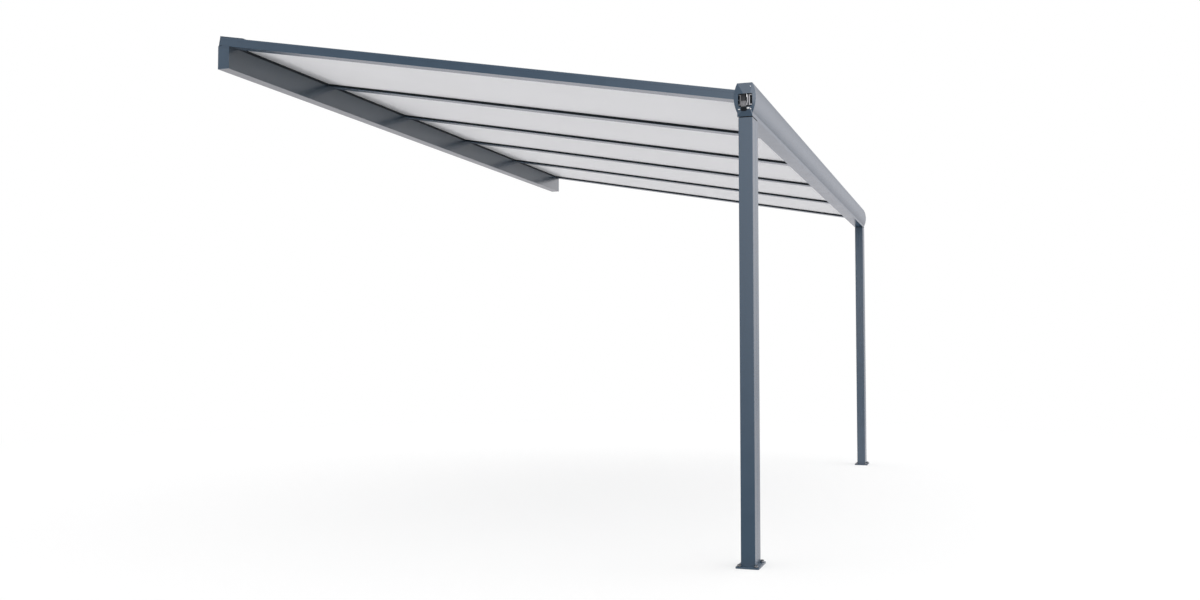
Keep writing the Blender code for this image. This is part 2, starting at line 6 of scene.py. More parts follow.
import bpy
import numpy as np
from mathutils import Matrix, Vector


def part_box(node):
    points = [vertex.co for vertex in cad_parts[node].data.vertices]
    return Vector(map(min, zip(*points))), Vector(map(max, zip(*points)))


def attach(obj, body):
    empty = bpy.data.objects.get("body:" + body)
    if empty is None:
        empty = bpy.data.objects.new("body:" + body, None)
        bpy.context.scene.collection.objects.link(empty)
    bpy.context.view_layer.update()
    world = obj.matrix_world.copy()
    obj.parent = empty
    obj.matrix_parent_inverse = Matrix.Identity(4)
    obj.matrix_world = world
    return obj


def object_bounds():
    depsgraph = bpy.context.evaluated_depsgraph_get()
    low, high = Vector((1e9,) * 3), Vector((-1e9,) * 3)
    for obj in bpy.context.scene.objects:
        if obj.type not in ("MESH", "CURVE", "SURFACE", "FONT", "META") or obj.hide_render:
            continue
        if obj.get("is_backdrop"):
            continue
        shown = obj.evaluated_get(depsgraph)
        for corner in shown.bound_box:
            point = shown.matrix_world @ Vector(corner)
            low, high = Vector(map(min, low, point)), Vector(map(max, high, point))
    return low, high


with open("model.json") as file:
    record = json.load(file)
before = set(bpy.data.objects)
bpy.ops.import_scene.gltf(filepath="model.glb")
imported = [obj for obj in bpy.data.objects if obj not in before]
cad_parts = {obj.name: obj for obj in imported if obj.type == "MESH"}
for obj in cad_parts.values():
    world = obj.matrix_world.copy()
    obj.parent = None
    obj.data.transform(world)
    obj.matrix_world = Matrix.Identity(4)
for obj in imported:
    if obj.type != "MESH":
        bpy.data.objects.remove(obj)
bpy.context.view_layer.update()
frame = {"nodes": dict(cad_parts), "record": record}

bl_info = {
    "name": "Lean-to carport",
    "version": (1, 0, 0),
    "blender": (4, 5, 0),
    "location": "3D View > Sidebar > Carport",
    "description": "Finishes, fittings and stage for a carport that leans on a wall",
    "category": "Object",
}

BODY = "root"

# The roof's plane: how far it tilts about X, and its height at the wall
ROOF_PITCH = 0.17622670
ROOF_HEIGHT = 0.07459455
RAFTER_COUNT = 6
ENDS = {"near": -1, "far": 1}

# Finish of the coat, the sheet and the brushed steel
COAT_IOR = 1.8
COAT_ROUGHNESS = 0.22
WALL_COAT_IOR = 2.01
WALL_COAT_ROUGHNESS = 0.24
RIB_SPACING = 0.032
RIB_EDGE = RIB_SPACING * 0.12
SHEET_CLARITY = 0.54
SHELTERED_CLARITY = 0.02
SHELTER_BLUR = 0.02
BRUSHED = (1.0, 1.0, 0.12)

# Values between which most of a noise lies, and the narrower span for the tone of large faces
NOISE_SPAN = (0.3, 0.7)
TONE_SPAN = (0.35, 0.65)

# Angles in radians from which an edge between two faces stays sharp
SHARP = 0.6
SHARP_HEAD = 0.5
SHARP_STRIP = 0.8

# How many points go round a turned piece and a bead, and along a rounded edge
HEAD_STEPS = 48
DISC_STEPS = 28
SCREW_STEPS = 24
BEAD_STEPS = 8
EDGE_STEPS = 4

# A direction whose Z part is over this counts as upright
UPRIGHT = 0.9

# Which finish each material slot gets, and the pieces that have one of their own
SLOT_FINISHES = {"powder_coat": "coat", "opal_sheet": "sheet", "black_rubber": "rubber",
                 "zinc_steel": "steel"}
OWN_FINISHES = {"end_bracket": "steel_bracket", "end_block": "block", "wall_profile": "wall"}

# How far the gutter's barrel stands out from its lip, in front and at the rear
GUTTER_BULGE = 0.016

# The ribbed block of an end bracket, by depth from the front lip and height, and the clips' flange
BLOCK_MIDDLE = 0.0435
BLOCK_HALF = 0.0102
BLOCK_TOP = 0.0751
CLIP_FLANGE_LOW = 0.0533
EDGE_BLUR = 0.0005
TOP_BLUR = 0.0003

# Where a bracket's painted shade starts behind its outer face, where it turns darker behind the
# front lip, and its shades
BRACKET_SHADE_DEPTH = (0.0010, 0.0035)
BRACKET_REAR = (0.030, 0.045)
BRACKET_SHADES = {"front": 0.66, "rear": 0.26, "depth_shade": 0.22, "low_shade": 0.05}
BLOCK_SHADES = (0.22, 0.62)

# How far outside an end cap the look at its surface starts
LOOK_FROM = 0.1

# Screws on an end cap: depth from the front lip, and height over the gutter's underside
CAP_SCREWS = ((0.0075, 0.032), (0.008, 0.1383))

# Outline of a screw's head, out and up, as shares of its radius
SCREW_OUTLINE = ((1.0, 0.0), (1.0, 0.35), (0.85, 0.6), (0.45, 0.7), (0.4, 0.3))

# Small plates on an end cap: depth, height, and the plate's own width and height
CAP_LUGS = ((0.0621, 0.033, 0.0096, 0.0048), (0.0182, 0.0360, 0.0128, 0.0080))
LUG_THICKNESS = 0.0035
LUG_EDGE = 0.0012
LUG_SUNK = 0.0015

# The black tab on an end cap, and the ridge across it
TAB_DEPTH = 0.0390
TAB_HEIGHT = 0.0339
TAB_WIDE = 0.029
TAB_TALL = 0.021
TAB_CORNER = 0.006
TAB_THICKNESS = 0.006
TAB_EDGE = 0.002
TAB_SUNK = 0.003
RIDGE_WIDE = 0.72 * TAB_WIDE
RIDGE_TALL = 0.0022
RIDGE_CORNER = 0.0010
RIDGE_THICKNESS = 0.0014
RIDGE_EDGE = 0.0007
RIDGE_BASE = 0.0025
RIDGE_RISE = 0.06 * TAB_TALL

# Black rubber in the clips behind an end cap's opening, painted shade for the dark inside of the
# clips: depth, height, and its own width and height
CLIP_SHADE_RUBBERS = {
    "front_strip": (0.0082, 0.0788, 0.0084, 0.0400),
    "rear_strip": (0.0622, 0.0788, 0.0050, 0.0400),
    "front_pad": (0.0160, 0.1085, 0.0240, 0.0082),
    "rear_pad": (0.0582, 0.1085, 0.0066, 0.0082),
}
CLIP_RUBBER_LONG = 0.026
CLIP_RUBBER_INSET = 0.001
CLIP_RUBBER_CORNER = 0.001
CLIP_RUBBER_EDGE = 0.0008

# Rubber strips along the rafters' feet, in metres down the slope and above the rafters' underside
GASKET_START = 0.074
GASKET_END = 2.950
GASKET_LOW = 0.0022
GASKET_GAP = 0.0002
PANEL_UNDERSIDE = 0.0153

# The black rubber wedge between the wall profile's level top and the rafters, painted shade for that
# gap, as places in Y and Z
WEDGE_BACK = -0.0085
WEDGE_FRONT = -0.0300
WEDGE_BOTTOM = 0.0682
WEDGE_GAP = 0.0004
WEDGE_END = 0.001

# What shiny surfaces mirror. A step is (from, to, value before, value after), eased in between.
# The two sides of the surround lie towards -X and +X, and their steps are over the ray's Y.
GLOSS_TINT = (1.0, 0.98, 1.01, 1.0)
NEAR_SIDE = ((0.07, 0.38, 1.6, 0.25), (0.53, 0.63, 0.0, 0.45), (-0.3, 0.0, 0.35, 0.0),
             (0.06, 0.16, 0.3, 0.0))
NEAR_SIDE_RISE = (0.0, 0.25, 0.8, 1.0)
FAR_SIDE = ((-0.45, 0.0, 1.3, 0.6), (-0.4, -0.25, 0.4, 0.0), (-0.05, 0.03, 0.0, -0.11))
FAR_SIDE_RISE = (0.0, 0.15, 0.86, 1.03)
FAR_SIDE_FALL = (0.3, 0.5, 1.0, 0.6)
SIDE_CHANGE = (-0.3, 0.3)
OVERHEAD = 1.35
NEAR_OVERHEAD = (0.3, 0.7)
FAR_OVERHEAD = (0.55, 0.9)
FLOOR_ALONG = ((-14.0, -3.0, 0.42, 0.24), (-2.75, -2.35, 0.0, 0.76))
FLOOR_ACROSS = ((-3.6, -3.1, 0.73, 0.87), (-3.0, -2.6, 0.0, 0.13))
FLOOR_FAR = (4.0, 22.0, 1.0, 0.9)

# The floor: a disc whose grey gives way to white with the distance from a middle at this Y
FLOOR_RADIUS = 90.0
FLOOR_STEPS = 96
FLOOR_GAP = 0.0005
FLOOR_MIDDLE = -1.5
FLOOR_FADE = (3.0, 8.0, 0.6, 1.0)
FLOOR_GREY = (0.88, 0.88, 0.88, 1.0)
FLOOR_BOUNCE = (0.58, 0.58, 0.58, 1.0)
WHITE = (1.0, 1.0, 1.0, 1.0)

# How much of the sky's strength comes from the horizon and from above, and where it changes
SKY_LOW = 0.6
SKY_HIGH = 1.75
SKY_RISE = (0.0, 0.6)

# The lamp and the photograph's camera
LAMP_PLACE = (2.0, -9.0, 4.0)
LAMP_TARGET = (0.0, -2.0, -0.8)
LAMP_SIZE = 6.0
CAMERA_PLACE = (-7.658, -3.9906, -1.6142)
CAMERA_TURN = (92.587, 0.0, -71.063)
CAMERA_LENS = 33.73
SENSOR_WIDTH = 36.0
CAMERA_REACH = 300.0


# Mesh helpers

def add_piece(name, points, faces, finish, slot, sharp=SHARP):
    """Make a mesh object that rides on the carport and takes the finish given to it; the slot is not
    used.
    """
    mesh = bpy.data.meshes.new(name)
    mesh.from_pydata(np.asarray(points, float).reshape(-1, 3), [], faces)
    mesh.materials.append(finish)
    mesh.polygons.foreach_set("use_smooth", np.ones(len(mesh.polygons), bool))
    mesh.set_sharp_from_angle(angle=sharp)
    piece = bpy.data.objects.new(name, mesh)
    bpy.context.scene.collection.objects.link(piece)
    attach(piece, BODY)


def ring_faces(rows, columns):
    """Quads between successive rings of points, and one flat face over the first and last ring."""
    row, column = np.meshgrid(np.arange(rows - 1), np.arange(columns), indexing="ij")
    a = row * columns + column
    b = row * columns + (column + 1) % columns
    quads = np.stack([a, b, b + columns, a + columns], axis=-1).reshape(-1, 4)
    first = list(range(columns - 1, -1, -1))
    last = list(range((rows - 1) * columns, rows * columns))
    return quads.tolist() + [first, last]


def join_parts(parts):
    """Join several (points, faces) pairs into one."""
    points, faces, count = [], [], 0
    for part_points, part_faces in parts:
        part_points = np.asarray(part_points, float).reshape(-1, 3)
        points.append(part_points)
        faces += [[corner + count for corner in face] for face in part_faces]
        count += len(part_points)
    return np.concatenate(points), faces


def axes_for(direction):
    """Three axes square to one another: across, upward and the direction itself."""
    n = np.asarray(direction, float)
    n = n / np.linalg.norm(n)
    guess = (0.0, 0.0, 1.0) if abs(n[2]) < UPRIGHT else (0.0, 1.0, 0.0)
    u = np.cross(guess, n)
    u = u / np.linalg.norm(u)
    return u, np.cross(n, u), n


def turned(profile, steps, centre, direction=(0.0, 0.0, 1.0), flats=None):
    """Points r cos a across, r sin a upward and h along, for each (r, h) of a profile and angle a.

    With a width across flats, r is at most half of it over cos(a folded to 30 degrees): a hexagon.
    """
    radius, height = np.asarray(profile, float).T
    angle = np.linspace(0.0, 2 * math.pi, steps, endpoint=False)
    reach = np.repeat(radius[:, None], steps, axis=1)
    if flats is not None:
        folded = (angle + math.pi / 6) % (math.pi / 3) - math.pi / 6
        reach = np.minimum(reach, flats / 2 / np.cos(folded))
    u, v, n = axes_for(direction)
    points = (np.asarray(centre) + (reach * np.cos(angle))[..., None] * u
              + (reach * np.sin(angle))[..., None] * v + height[:, None, None] * n)
    return points, ring_faces(len(radius), steps)


def rounded(half_width, half_height, radius):
    """A rounded rectangle's outline: a quarter circle about each corner's own centre."""
    corner = np.repeat(np.arange(4), EDGE_STEPS + 1)
    angle = (corner + np.tile(np.linspace(0.0, 1.0, EDGE_STEPS + 1), 4)) * math.pi / 2
    side_x = np.array([1, -1, -1, 1])[corner]
    side_y = np.array([1, 1, -1, -1])[corner]
    x = side_x * (half_width - radius) + radius * np.cos(angle)
    y = side_y * (half_height - radius) + radius * np.sin(angle)
    return np.stack([x, y], -1)


def slab(width, height, corner, depth, edge, origin, across, upward):
    """A slab of rounded outline: origin + a across + b upward + c outward, its front edge rounded.

    The edge is a quarter circle: the outline shrinks by e(1 - cos t) while c rises by e sin t.
    """
    turn = np.linspace(0.0, math.pi / 2, EDGE_STEPS)
    rise = np.concatenate([[0.0], depth - edge + edge * np.sin(turn)])
    inset = np.concatenate([[0.0], edge * (1 - np.cos(turn))])
    across, upward = np.asarray(across, float), np.asarray(upward, float)
    outward = np.cross(across, upward)
    outward = outward / np.linalg.norm(outward)
    rings = []
    for up, shrink in zip(rise, inset):
        outline = rounded(width / 2 - shrink, height / 2 - shrink, corner - shrink)
        rings.append(np.asarray(origin) + outline[:, :1] * across + outline[:, 1:] * upward
                     + up * outward)
    return np.stack(rings), ring_faces(len(rings), rings[0].shape[0])


def carried(outline, path, across, upward):
    """Points path + a across + b upward, for each (a, b) of a closed outline and path point."""
    a, b = np.asarray(outline, float).T
    spot = np.asarray(path, float)[:, None, :]
    points = spot + a[None, :, None] * np.asarray(across) + b[None, :, None] * np.asarray(upward)
    return points, ring_faces(len(path), len(outline))


def cap_datum(end):
    """Where an end cap's depths and heights start: the front lip's Y and the underside's Z."""
    low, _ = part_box("gutter_end_cap_" + end)
    return low[1] + GUTTER_BULGE, low[2]


def outer_face(name, end):
    """The X of a node's face at its end of the carport."""
    low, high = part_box(name + end)
    return high[0] if ENDS[end] > 0 else low[0]


def on_cap(end, depth, height):
    """The point of an end cap's outside at a depth and a height, and its normal."""
    side = ENDS[end]
    lip, under = cap_datum(end)
    outside = outer_face("gutter_end_cap_", end) + side * LOOK_FROM
    start = Vector((outside, lip + depth, under + height))
    cap = frame["nodes"]["gutter_end_cap_" + end]
    hit, place, normal, _ = cap.ray_cast(start, (-side, 0.0, 0.0))
    if not hit:
        raise RuntimeError(f"the {end} end cap has no surface at {depth}, {height}")
    return np.array(place), np.array(normal)


def on_roof(x, along, above):
    """A point on the roof, from x, the distance down the slope and the height square to it."""
    c, s = math.cos(ROOF_PITCH), math.sin(ROOF_PITCH)
    return x, -along * c - above * s, ROOF_HEIGHT - along * s + above * c


# Node helpers

class Wire:
    """An output socket whose arithmetic adds Math nodes to its tree."""

    def __init__(self, finish, socket):
        self.finish = finish
        self.socket = socket

    def _math(self, operation, *values):
        return self.finish.node("ShaderNodeMath", {"operation": operation}, dict(enumerate(values)))

    def __add__(self, other):
        return self._math("ADD", self, other)

    def __sub__(self, other):
        return self._math("SUBTRACT", self, other)

    def __rsub__(self, other):
        return self._math("SUBTRACT", other, self)

    def __mul__(self, other):
        return self._math("MULTIPLY", self, other)

    def __pow__(self, other):
        return self._math("POWER", self, other)

    def __abs__(self):
        return self._math("ABSOLUTE", self)


class Finish:
    """A node tree under construction: a material's or the world's."""

    def __init__(self, owner, output):
        owner.use_nodes = True
        self.owner = owner
        self.tree = owner.node_tree
        self.tree.nodes.clear()
        self.output = self.tree.nodes.new(output)

    def node(self, kind, settings=None, inputs=None, output=0):
        """Add a node, set its settings first and then its sockets, and return one output."""
        made = self.tree.nodes.new(kind)
        for key, value in (settings or {}).items():
            setattr(made, key, value)
        for key, value in (inputs or {}).items():
            self.feed(made.inputs[key], value)
        return Wire(self, made.outputs[output])

    def feed(self, socket, value):
        """Link a wire to a socket, or set the socket's own value."""
        if isinstance(value, Wire):
            self.tree.links.new(value.socket, socket)
        else:
            socket.default_value = value

    def smooth(self, value, low, high, to_low=0.0, to_high=1.0):
        """Map a value from low..high to another range with eased ends."""
        return self.node("ShaderNodeMapRange", {"interpolation_type": "SMOOTHSTEP"},
                         {"Value": value, "From Min": low, "From Max": high,
                          "To Min": to_low, "To Max": to_high})

    def spread(self, noise, least=0.0, most=1.0):
        """Map the values that a noise mostly has to another range."""
        return self.smooth(noise, *NOISE_SPAN, least, most)

    def steps(self, value, first, *rest):
        """The sum of several eased steps of one value."""
        return sum((self.smooth(value, *step) for step in rest), self.smooth(value, *first))

    def mix(self, factor, first, second):
        """Blend two colours."""
        return self.node("ShaderNodeMix", {"data_type": "RGBA"},
                         {0: factor, 6: first, 7: second}, 2)

    def tones(self, factor, colour, at_0, at_1):
        """Blend two shades of a colour."""
        return self.mix(factor, shade(colour, at_0), shade(colour, at_1))

    def blend(self, factor, first, second):
        """Blend two shaders."""
        return self.node("ShaderNodeMixShader", None, {0: factor, 1: first, 2: second})

    def place(self):
        """Object coordinates."""
        return self.node("ShaderNodeTexCoord", output="Object")

    def axes(self, vector):
        """The three parts of a vector."""
        split = self.node("ShaderNodeSeparateXYZ", None, {0: vector})
        outputs = split.socket.node.outputs
        return [Wire(self, outputs[i]) for i in range(3)]

    def noise(self, scale, detail=2.0, stretch=None):
        """Cloudy values round 0.5, with the pattern stretched along the axes if asked."""
        vector = self.place()
        if stretch is not None:
            vector = self.node("ShaderNodeMapping", None, {"Vector": vector, "Scale": stretch})
        return self.node("ShaderNodeTexNoise", None,
                         {"Vector": vector, "Scale": scale, "Detail": detail})

    def bump(self, height, strength, distance):
        """Turn a height into a surface normal."""
        return self.node("ShaderNodeBump", None,
                         {"Height": height, "Strength": strength, "Distance": distance})

    def ray(self, kind):
        """1 for rays of a kind, such as Is Camera Ray."""
        return self.node("ShaderNodeLightPath", output=kind)

    def close(self, shader):
        """End the tree with a shader."""
        self.feed(self.output.inputs["Surface"], shader)
        return self.owner

    def finish_with(self, values):
        """End the tree with a Principled shader that has these socket values."""
        return self.close(self.node("ShaderNodeBsdfPrincipled", None, values))


def new_finish(name):
    """Start a material of that name."""
    return Finish(bpy.data.materials.new(name), "ShaderNodeOutputMaterial")


def shade(colour, factor):
    """A colour times a factor."""
    return tuple(part * factor for part in colour[:3]) + (1.0,)


# Finishes

def powder_coat(name, colour, ior=COAT_IOR, roughness=COAT_ROUGHNESS):
    """Satin powder coat: a fine orange-peel skin, and slow drifts of tone and gloss."""
    make = new_finish(name)
    drift = make.noise(scale=1.2, detail=3.0)
    cloud = make.noise(scale=9.0, detail=4.0)
    peel = make.noise(scale=700.0)
    mixed = make.smooth(drift * 0.6 + cloud * 0.4, *TONE_SPAN)
    return make.finish_with({"Base Color": make.tones(mixed, colour, at_0=0.96, at_1=1.04),
                             "Roughness": make.spread(cloud, roughness, roughness + 0.03),
                             "IOR": ior,
                             "Normal": make.bump(peel, strength=0.012, distance=0.0006)})


def shaded_wall_coat(name, colour):
    """The coat of the wall profile: its colour is darker and greyer than the powder coat, painted
    shade for the roof's shade on it, and a higher IOR makes it shinier.
    """
    return powder_coat(name, colour, WALL_COAT_IOR, WALL_COAT_ROUGHNESS)


def opal_sheet(name, colour):
    """Milky multiwall sheet: its inner ribs show as faint lines down the slope.

    It lets light through, apart from the strip that the wall flashing shelters.
    """
    make = new_finish(name)
    cloud = make.noise(scale=1.5, detail=3.0)
    x, y, _ = make.axes(make.place())
    beat = make.node("ShaderNodeMath", {"operation": "PINGPONG"}, {0: x, 1: RIB_SPACING / 2})
    rib = make.smooth(beat, 0.0, RIB_EDGE)
    plain = make.tones(make.smooth(cloud, *TONE_SPAN), colour, at_0=0.985, at_1=1.0)
    tone = make.mix(rib, shade(colour, 0.965), plain)
    skin = make.node("ShaderNodeBsdfPrincipled", None,
                     {"Base Color": tone, "IOR": 1.45,
                      "Roughness": make.spread(cloud, least=0.34, most=0.40)})
    glow = make.node("ShaderNodeBsdfTranslucent", None, {"Color": tone})
    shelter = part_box("wall_flashing")[0][1]
    clear = make.smooth(y, shelter - SHELTER_BLUR, shelter + SHELTER_BLUR,
                        SHEET_CLARITY, SHELTERED_CLARITY)
    return make.close(make.blend(clear, skin, glow))


def black_rubber(name, colour):
    """Matt rubber with a fine grain."""
    make = new_finish(name)
    grain = make.noise(scale=900.0)
    cloud = make.noise(scale=25.0, detail=3.0)
    return make.finish_with({"Base Color": make.tones(cloud, colour, at_0=0.8, at_1=1.3),
                             "Roughness": make.spread(cloud, least=0.55, most=0.7),
                             "Specular IOR Level": 0.2,
                             "Normal": make.bump(grain, strength=0.15, distance=0.0005)})


def zinc_steel(name, colour):
    """Bright zinc plate with a slight brushed grain."""
    make = new_finish(name)
    grain = make.noise(scale=260.0, detail=3.0, stretch=BRUSHED)
    cloud = make.spread(make.noise(scale=30.0, detail=3.0))
    return make.finish_with({"Base Color": make.tones(cloud, colour, at_0=0.9, at_1=1.05),
                             "Roughness": make.spread(grain, least=0.20, most=0.36),
                             "Metallic": 1.0,
                             "Normal": make.bump(grain, strength=0.08, distance=0.0003)})


def highlit_zinc(name, colour):
    """Dull zinc, brightened past its colour and made mostly non-metallic: a painted highlight that
    stays bright in the shade.
    """
    make = new_finish(name)
    cloud = make.noise(scale=80.0, detail=3.0)
    return make.finish_with({"Base Color": make.tones(cloud, colour, at_0=1.1, at_1=1.25),
                             "Roughness": make.spread(cloud, least=0.35, most=0.5),
                             "Metallic": 0.2})


def bracket_steel(name, colour):
    """Plated steel with painted shade in the depth behind its outer face and under the clips'
    flange, so its front edges stay bright; darker towards the rear, dull on the ribbed block.
    """
    make = new_finish(name)
    lip, under = cap_datum("far")
    x, y, z = make.axes(make.place())
    inward = outer_face("end_bracket_", "far") - abs(x)
    # Painted shade: darker in the depth behind the outer face and under the clips' flange
    depth_shade = make.smooth(inward, *BRACKET_SHADE_DEPTH)
    rear = make.smooth(y, *(lip + depth for depth in BRACKET_REAR))
    flange = under + CLIP_FLANGE_LOW
    low_shade = 1 - make.smooth(z, flange - EDGE_BLUR, flange)
    beside = make.smooth(abs(y - (lip + BLOCK_MIDDLE)), BLOCK_HALF, BLOCK_HALF + EDGE_BLUR)
    above = make.smooth(z, under + BLOCK_TOP, under + BLOCK_TOP + TOP_BLUR)
    grain = make.noise(scale=260.0, detail=3.0, stretch=BRUSHED)
    cloud = make.noise(scale=60.0, detail=3.0)
    shades = {spot: shade(colour, factor) for spot, factor in BRACKET_SHADES.items()}
    tone = make.mix(rear, shades["front"], shades["rear"])
    tone = make.mix(depth_shade, tone, shades["depth_shade"])
    tone = make.mix(low_shade, tone, shades["low_shade"])
    tone = make.mix((1 - beside) * (1 - above), tone, make.tones(cloud, colour, *BLOCK_SHADES))
    return make.finish_with({"Base Color": tone, "Metallic": 1.0,
                             "Roughness": make.spread(grain, least=0.24, most=0.40),
                             "Normal": make.bump(grain, strength=0.08, distance=0.0003)})


# Properties

def length(name, text, value):
    """A length in metres."""
    return bpy.props.FloatProperty(name=name, description=text, default=value, min=0.0001,
                                   precision=4, subtype="DISTANCE", unit="LENGTH")


def colour_of(name, text, value):
    """A colour."""
    return bpy.props.FloatVectorProperty(name=name, description=text, default=value, size=3,
                                         min=0.0, max=1.0, subtype="COLOR")


class CarportSizes(bpy.types.PropertyGroup):
    """Sizes of the small fittings."""
    pad_radius: length("Pad radius", "Radius of the rubber pads under the anchor bolts", 0.0104)
    pad_thickness: length("Pad thickness", "Thickness of the rubber pads", 0.0025)
    washer_radius: length("Washer radius", "Radius of the anchor bolts' steel washers", 0.0096)
    washer_thickness: length("Washer thickness", "Thickness of the steel washers", 0.0022)
    head_across: length("Head width", "Anchor bolt's head, across its flats", 0.015)
    head_height: length("Head height", "Height of the head", 0.0052)
    anchor_edge: length("Anchor edge", "Anchor's distance in from the plate's edges", 0.015)
    screw_radius: length("Screw radius", "Radius of the end caps' screw heads", 0.0031)
    gasket_radius: length("Gasket radius", "Radius of the bead along a rafter's foot", 0.0014)
    gasket_thickness: length("Gasket thickness", "Thickness of the flap beside a rafter's foot",
                             0.0012)


class CarportColours(bpy.types.PropertyGroup):
    """Colours of the finishes."""
    coat: colour_of("Powder coat", "Colour of all painted aluminium", (0.040, 0.079, 0.127))
    # The wall profile's colour is the coat darkened and greyed: painted shade for the roof's shade
    # on it
    wall: colour_of("Wall profile", "Colour of the wall profile", (0.024, 0.043, 0.064))
    sheet: colour_of("Opal sheet", "Colour of the roof panels", (0.91, 0.91, 0.92))
    rubber: colour_of("Rubber", "Colour of seals, pads and tabs", (0.010, 0.014, 0.018))
    block: colour_of("Blocks", "Colour of the blocks in the brackets", (0.060, 0.063, 0.070))
    steel: colour_of("Steel", "Colour of plated steel", (0.72, 0.73, 0.75))
    bolt: colour_of("Anchor bolts", "Colour of the dark anchor bolts", (0.14, 0.145, 0.15))


class CarportStage(bpy.types.PropertyGroup):
    """The light round the carport."""
    sky: bpy.props.FloatProperty(name="Sky", description="Strength of the even light",
                                 default=0.75, min=0.0)
    key: bpy.props.FloatProperty(name="Key", description="Power of the front lamp in watts",
                                 default=70.0, min=0.0)


# Operators

def sizes():
    """The fittings' sizes."""
    return bpy.context.scene.carport_sizes


def material(name):
    """A finish by name, made on first use. The word before its first underscore names its colour."""
    found = bpy.data.materials.get(name)
    if found is not None:
        return found
    makers = {"coat": powder_coat, "wall": shaded_wall_coat, "sheet": opal_sheet,
              "rubber": black_rubber, "block": black_rubber, "steel": zinc_steel,
              "steel_bracket": bracket_steel, "steel_lug": highlit_zinc, "bolt": zinc_steel}
    colour = tuple(getattr(bpy.context.scene.carport_colours, name.split("_")[0]))
    return makers[name](name, colour)


class CARPORT_OT_frame_finishes(bpy.types.Operator):
    """Give every solid of the frame its finish"""
    bl_idname = "carport.frame_finishes"
    bl_label = "Frame finishes"

    def execute(self, context):
        slots = {part["node"]: part["material_slot"] for part in frame["record"]["subparts"]}
        for name, node in frame["nodes"].items():
            if not node.material_slots:
                raise RuntimeError(f"{name} has no material slot")
            piece = name.removesuffix("_near").removesuffix("_far")
            finish = material(OWN_FINISHES.get(piece, SLOT_FINISHES[slots[name]]))
            for slot in node.material_slots:
                slot.material = finish
        return {"FINISHED"}


class CARPORT_OT_anchors(bpy.types.Operator):
    """Anchor bolts with washers on rubber pads, one at each corner of the base plates"""
    bl_idname = "carport.anchors"
    bl_label = "Anchor bolts"

    def execute(self, context):
        edge = sizes().anchor_edge
        for end in ENDS:
            low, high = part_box("base_plate_" + end)
            spots = [(x, y) for x in (low[0] + edge, high[0] - edge)
                     for y in (low[1] + edge, high[1] - edge)]
            for count, (x, y) in enumerate(spots, start=1):
                self.add_anchor(f"{end}_{count}", (x, y, high[2]))
        return {"FINISHED"}

    def add_anchor(self, name, foot):
        """A rubber pad and a steel washer with cut edges, and a hexagon head with a crowned top."""
        s = sizes()
        pad = self.disc(foot, s.pad_radius, s.pad_thickness)
        add_piece("anchor_pad_" + name, *pad, material("rubber"), "black_rubber")
        seat = np.array(foot) + (0.0, 0.0, s.pad_thickness)
        washer = self.disc(seat, s.washer_radius, s.washer_thickness)
        add_piece("anchor_washer_" + name, *washer, material("steel"), "zinc_steel")
        half, corner = s.head_across / 2, s.head_across / 2 / math.cos(math.pi / 6)
        top, chamfer = s.head_height, s.head_height * 0.2
        profile = [(half * 0.98, 0.0), (corner, chamfer * 0.4), (corner, top - chamfer),
                   (half * 0.96, top - chamfer * 0.2), (half * 0.55, top),
                   (half * 0.45, top - chamfer * 0.3)]
        base = seat + (0.0, 0.0, s.washer_thickness)
        head = turned(profile, HEAD_STEPS, base, flats=s.head_across)
        add_piece("anchor_head_" + name, *head, material("bolt"), "zinc_steel", SHARP_HEAD)

    def disc(self, foot, radius, thickness):
        """A flat disc whose rim is cut back by a quarter of its thickness above and below."""
        e = thickness * 0.25
        profile = [(radius - e, 0.0), (radius, e), (radius, thickness - e), (radius - e, thickness)]
        return turned(profile, DISC_STEPS, foot)


